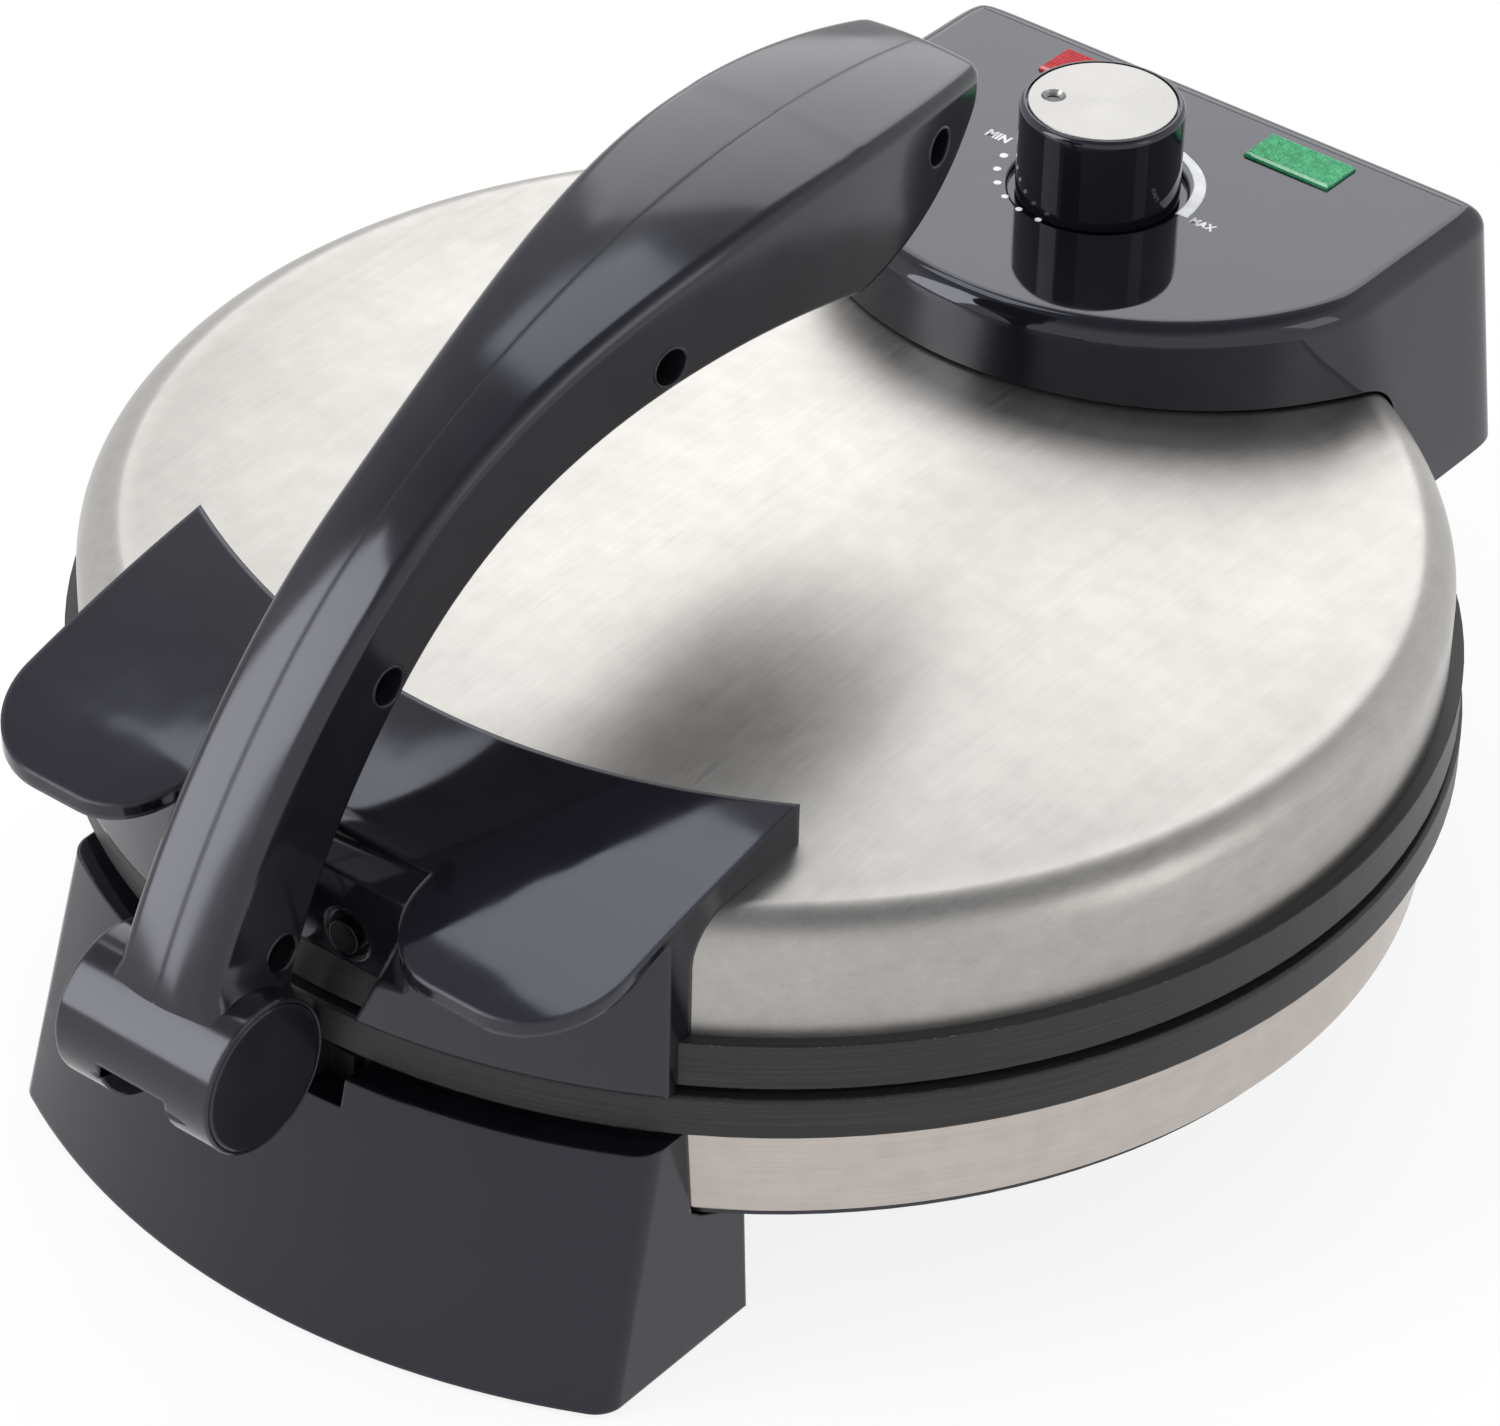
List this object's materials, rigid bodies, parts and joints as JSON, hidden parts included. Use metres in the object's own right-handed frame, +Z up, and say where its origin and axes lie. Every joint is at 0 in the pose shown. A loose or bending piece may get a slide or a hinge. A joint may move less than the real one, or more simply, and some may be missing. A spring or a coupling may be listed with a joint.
{
  "type": "electric roti maker",
  "caption": "Countertop flatbread cooker: two round heated plates, a hinged steel lid with a control housing and knob, and a curved pressing lever over winged bracket.",
  "frame": {"origin": "on the counter, under the middle of the closed machine's bounding box", "axes": "+Z up, +Y towards the lid's hinge, -Y towards the user and the lever's pivot"},
  "size_m": [0.29, 0.3552, 0.2002],
  "materials": {
    "black_gloss": "glossy moulded, faintly bluish black",
    "black_matte": "matt moulded",
    "brushed_lid_steel": "brushed stainless sheet",
    "spun_disc": "spun disc",
    "coated_plate": "dark non-stick coating with turning marks on the rim",
    "element_steel": "dull sheath",
    "shield_sheet": "mill finish",
    "insulator": "matt insulating moulding",
    "black_steel": "satin black",
    "zinc_steel": "zinc plated",
    "foot_rubber": "matt",
    "bush_brass": "turned",
    "red_lens": "clear moulding",
    "green_lens": "clear moulding with ridges"
  },
  "bodies": {
    "base": {"front_foot": "black_gloss", "rear_foot": "black_gloss", "base_skirt": "brushed_lid_steel", "bottom_pan": "black_matte", "lower_plate": "coated_plate", "lower_element": "element_steel", "lower_heat_shield": "shield_sheet", "lower_thermal_fuse": "insulator", "terminal_block": "insulator", "cord_gland": "black_matte", "rubber_feet": "foot_rubber", "base_screws": "zinc_steel", "lever_bracket": "black_steel", "lever_bracket_bolts": "zinc_steel", "lever_pin": "zinc_steel", "hinge_pins": "zinc_steel"},
    "lid": {"lid_cover": "brushed_lid_steel", "upper_plate": "coated_plate", "upper_element": "element_steel", "upper_heat_shield": "shield_sheet", "upper_thermal_fuse": "insulator", "lid_bracket": "black_gloss", "lid_bracket_screws": "zinc_steel", "control_housing": "black_gloss", "housing_underside": "black_matte", "housing_screws": "zinc_steel", "thermostat": "insulator", "indicator_lamps": "insulator", "red_lens": "red_lens", "green_lens": "green_lens"},
    "knob": {"knob": "black_gloss", "knob_disc": "spun_disc", "thermostat_shaft": "zinc_steel"},
    "lever": {"lever_left_shell": "black_gloss", "lever_right_shell": "black_gloss", "lever_screws": "zinc_steel", "barrel_caps": "black_gloss", "pivot_bushes": "bush_brass"}
  },
  "joints": [
    {"name": "lid_hinge", "type": "hinge", "parent": "base", "child": "lid", "pos_m": [0, 0.1661, 0.066], "axis": [-1, 0, 0], "range_deg": [0, 90]},
    {"name": "lever_swing", "type": "hinge", "parent": "base", "child": "lever", "pos_m": [0, -0.1613, 0.0756], "axis": [1, 0, 0], "range_deg": [0, 130]},
    {"name": "knob_turn", "type": "hinge", "parent": "lid", "child": "knob", "pos_m": [0, 0.1258, 0.1303], "axis": [0, 0, 1], "range_deg": [-205, 60]}
  ],
  "couplings": [
    {"joint": "lever_swing", "follows": "lid_hinge", "ratio": 1.444}
  ]
}
